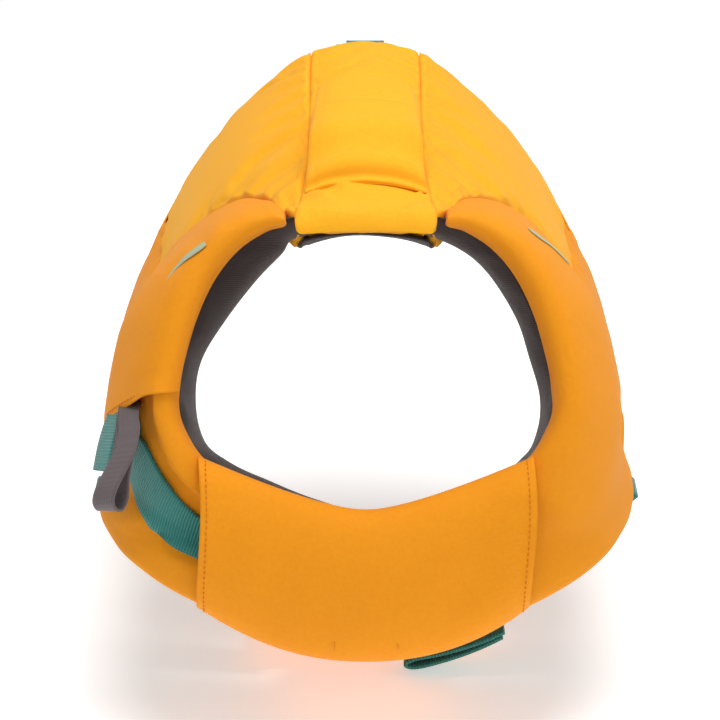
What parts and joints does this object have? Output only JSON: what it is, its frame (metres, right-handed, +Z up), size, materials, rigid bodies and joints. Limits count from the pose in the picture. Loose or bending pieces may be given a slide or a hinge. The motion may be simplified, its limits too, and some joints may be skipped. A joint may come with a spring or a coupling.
{
  "type": "dog life jacket",
  "caption": "Padded buoyancy jacket for a dog: tube of foam panels with a round neck collar, lift handle on the back and side-release buckle straps closing under the belly",
  "frame": {"origin": "middle of the bounding box in X and Y, on the surface that the belly panel rests on", "axes": "+X to the wearer's left, +Y from the neck opening to the tail end, +Z up"},
  "size_m": [0.2874, 0.3631, 0.2992],
  "materials": {
    "shell_yellow": "woven nylon, matt",
    "shell_orange": "woven nylon, matt",
    "foam": "closed-cell buoyancy foam",
    "lining": "dark stretch lining",
    "webbing": "ribbed webbing",
    "pull_tape": "flat coated tape",
    "buckle": "moulded acetal",
    "ring_metal": "anodised wire",
    "reflector": "reflective tape"
  },
  "bodies": {
    "root": {"belly_cover": "shell_orange", "belly_foam": "foam", "belly_lining": "lining", "body_lining": "lining", "chest_panel": "shell_orange", "front_buckle_anchor": "webbing", "front_buckle_female": "buckle", "front_left_strap": "webbing", "front_right_strap": "webbing", "front_strap_tail": "webbing", "handle_front_anchor": "shell_yellow", "handle_rear_anchor": "shell_yellow", "leash_loop": "webbing", "left_back_cover": "shell_yellow", "left_back_foam": "foam", "left_neck_cover": "shell_orange", "left_neck_foam": "foam", "left_neck_lining": "lining", "left_reflector": "reflector", "left_side_cover": "shell_orange", "left_side_foam": "foam", "neck_flap": "shell_orange", "neck_strap_lock": "buckle", "neck_strap_tail": "webbing", "rear_binding": "lining", "rear_buckle_anchor": "webbing", "rear_buckle_female": "buckle", "rear_left_strap": "webbing", "rear_right_strap": "webbing", "right_back_cover": "shell_yellow", "right_back_foam": "foam", "right_neck_cover": "shell_orange", "right_neck_foam": "foam", "right_neck_lining": "lining", "right_reflector": "reflector", "right_side_cover": "shell_orange", "right_side_foam": "foam", "spine_cover": "shell_yellow", "spine_foam": "foam"},
    "handle": {"handle_cover": "shell_yellow", "handle_foam": "foam"},
    "leash_ring": {"leash_ring": "ring_metal"},
    "neck_sleeve": {"neck_sleeve": "shell_orange", "neck_strap": "webbing"},
    "pull_loop": {"pull_loop": "pull_tape"},
    "front_male": {"front_buckle_male": "buckle"},
    "front_prong_1": {"front_buckle_prong_1": "buckle"},
    "front_prong_2": {"front_buckle_prong_2": "buckle"},
    "front_slider": {"front_slider": "buckle"},
    "rear_male": {"rear_buckle_male": "buckle"},
    "rear_prong_1": {"rear_buckle_prong_1": "buckle"},
    "rear_prong_2": {"rear_buckle_prong_2": "buckle"},
    "rear_slider": {"rear_slider": "buckle"}
  },
  "joints": [
    {"name": "handle_lift", "type": "slide", "parent": "root", "child": "handle", "axis": [0, 0, 1], "range_m": [0, 0.014]},
    {"name": "leash_ring_swing", "type": "hinge", "parent": "root", "child": "leash_ring", "pos_m": [0, 0.17615, 0.28], "axis": [1, 0, 0], "range_deg": [0, 165]},
    {"name": "neck_cinch", "type": "hinge", "parent": "root", "child": "neck_sleeve", "pos_m": [0, -0.13248, 0.22567], "axis": [0, 0.9397, -0.342], "range_deg": [0, 6]},
    {"name": "pull_loop_swing", "type": "hinge", "parent": "root", "child": "pull_loop", "pos_m": [-0.11385, -0.15639, 0.17547], "axis": [-0.9397, 0.117, 0.3214], "range_deg": [0, 70]},
    {"name": "front_buckle_release", "type": "slide", "parent": "root", "child": "front_male", "axis": [-0.7434, 0, -0.6689], "range_m": [0, 0.014]},
    {"name": "front_prong_1_squeeze", "type": "hinge", "parent": "front_male", "child": "front_prong_1", "pos_m": [0.09349, -0.09015, 0.06283], "axis": [-0.6689, 0, 0.7434], "range_deg": [0, 6], "stiffness_Nm_per_rad": 0.02},
    {"name": "front_prong_2_squeeze", "type": "hinge", "parent": "front_male", "child": "front_prong_2", "pos_m": [0.09349, -0.06185, 0.06283], "axis": [0.6689, 0, -0.7434], "range_deg": [0, 6], "stiffness_Nm_per_rad": 0.0002},
    {"name": "front_slider_move", "type": "slide", "parent": "root", "child": "front_slider", "axis": [0.7434, 0, -0.6689], "range_m": [0, 0.025]},
    {"name": "rear_buckle_release", "type": "slide", "parent": "root", "child": "rear_male", "axis": [-0.6988, 0, -0.7153], "range_m": [0, 0.014]},
    {"name": "rear_prong_1_squeeze", "type": "hinge", "parent": "rear_male", "child": "rear_prong_1", "pos_m": [0.0967, 0.04085, 0.05455], "axis": [-0.7153, 0, 0.6988], "range_deg": [0, 6], "stiffness_Nm_per_rad": 0.02},
    {"name": "rear_prong_2_squeeze", "type": "hinge", "parent": "rear_male", "child": "rear_prong_2", "pos_m": [0.0967, 0.06915, 0.05455], "axis": [0.7153, 0, -0.6988], "range_deg": [0, 6], "stiffness_Nm_per_rad": 0.0002},
    {"name": "rear_slider_move", "type": "slide", "parent": "root", "child": "rear_slider", "axis": [0.6988, 0, -0.7153], "range_m": [0, 0.025]}
  ],
  "couplings": [
    {"joint": "front_prong_2_squeeze", "follows": "front_prong_1_squeeze", "ratio": 1},
    {"joint": "rear_prong_2_squeeze", "follows": "rear_prong_1_squeeze", "ratio": 1}
  ]
}
